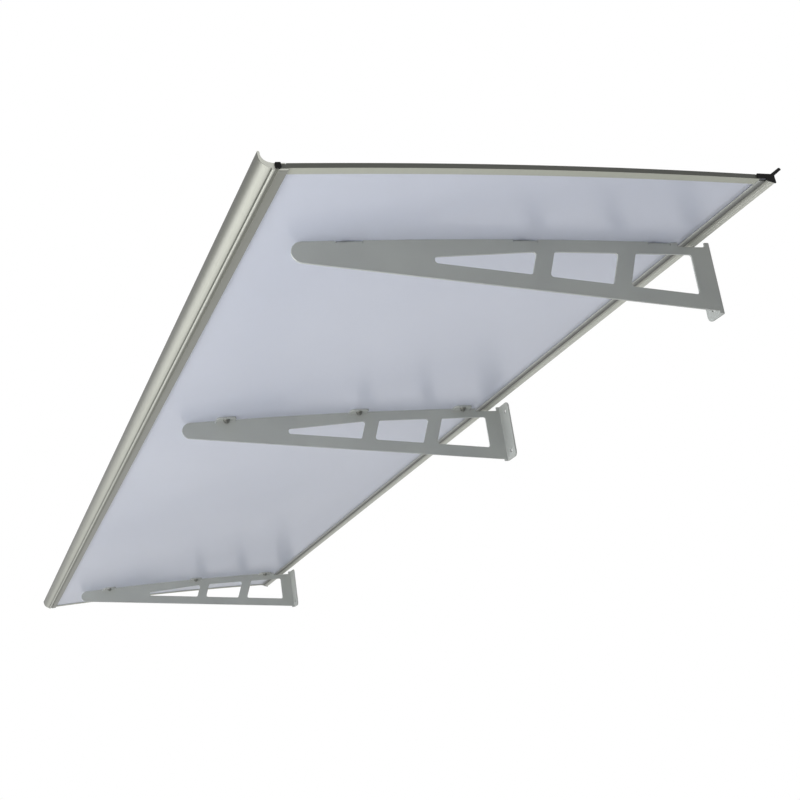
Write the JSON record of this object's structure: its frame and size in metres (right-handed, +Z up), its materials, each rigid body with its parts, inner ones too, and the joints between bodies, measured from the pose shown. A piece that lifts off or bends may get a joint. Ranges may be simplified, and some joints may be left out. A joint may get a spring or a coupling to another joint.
{
  "type": "door canopy",
  "caption": "Wall-mounted door canopy: a long, slightly arched translucent roof sheet with metal edge profiles, carried from below on folded wall brackets.",
  "frame": {"origin": "on the wall plane, midway along the roof's length, level with the foot of the brackets' webs", "axes": "+X along the wall to the right as seen from outside, +Y into the wall, +Z up; the roof reaches out to -Y"},
  "size_m": [3.005, 0.8011, 0.1398],
  "materials": {
    "translucent_polycarbonate": "translucent polycarbonate, pale blue-grey",
    "satin_aluminium": "satin anodised",
    "grey_trim": "satin mid grey",
    "grey_powder_coat": "matte grey powder coat",
    "black_rubber": "matte black",
    "black_plastic": "fine matte",
    "stainless_steel": "plain turned stainless steel"
  },
  "bodies": {
    "root": {"roof_sheet": "translucent_polycarbonate", "front_profile": "satin_aluminium", "rear_profile": "satin_aluminium", "side_trim_right": "grey_trim", "front_plug_right": "black_plastic", "rear_cap_right": "black_plastic", "side_trim_left": "grey_trim", "front_plug_left": "black_plastic", "rear_cap_left": "black_plastic", "front_gasket": "black_rubber", "rear_gasket": "black_rubber", "rear_seal": "black_rubber", "bracket_right": "grey_powder_coat", "screw_right_front": "stainless_steel", "cover_washer_right_front": "stainless_steel", "sealing_washer_right_front": "black_rubber", "nut_right_front": "stainless_steel", "screw_right_mid": "stainless_steel", "cover_washer_right_mid": "stainless_steel", "sealing_washer_right_mid": "black_rubber", "nut_right_mid": "stainless_steel", "screw_right_rear": "stainless_steel", "cover_washer_right_rear": "stainless_steel", "sealing_washer_right_rear": "black_rubber", "nut_right_rear": "stainless_steel", "bracket_middle": "grey_powder_coat", "screw_middle_front": "stainless_steel", "cover_washer_middle_front": "stainless_steel", "sealing_washer_middle_front": "black_rubber", "nut_middle_front": "stainless_steel", "screw_middle_mid": "stainless_steel", "cover_washer_middle_mid": "stainless_steel", "sealing_washer_middle_mid": "black_rubber", "nut_middle_mid": "stainless_steel", "screw_middle_rear": "stainless_steel", "cover_washer_middle_rear": "stainless_steel", "sealing_washer_middle_rear": "black_rubber", "nut_middle_rear": "stainless_steel", "bracket_left": "grey_powder_coat", "screw_left_front": "stainless_steel", "cover_washer_left_front": "stainless_steel", "sealing_washer_left_front": "black_rubber", "nut_left_front": "stainless_steel", "screw_left_mid": "stainless_steel", "cover_washer_left_mid": "stainless_steel", "sealing_washer_left_mid": "black_rubber", "nut_left_mid": "stainless_steel", "screw_left_rear": "stainless_steel", "cover_washer_left_rear": "stainless_steel", "sealing_washer_left_rear": "black_rubber", "nut_left_rear": "stainless_steel"}
  },
  "joints": []
}
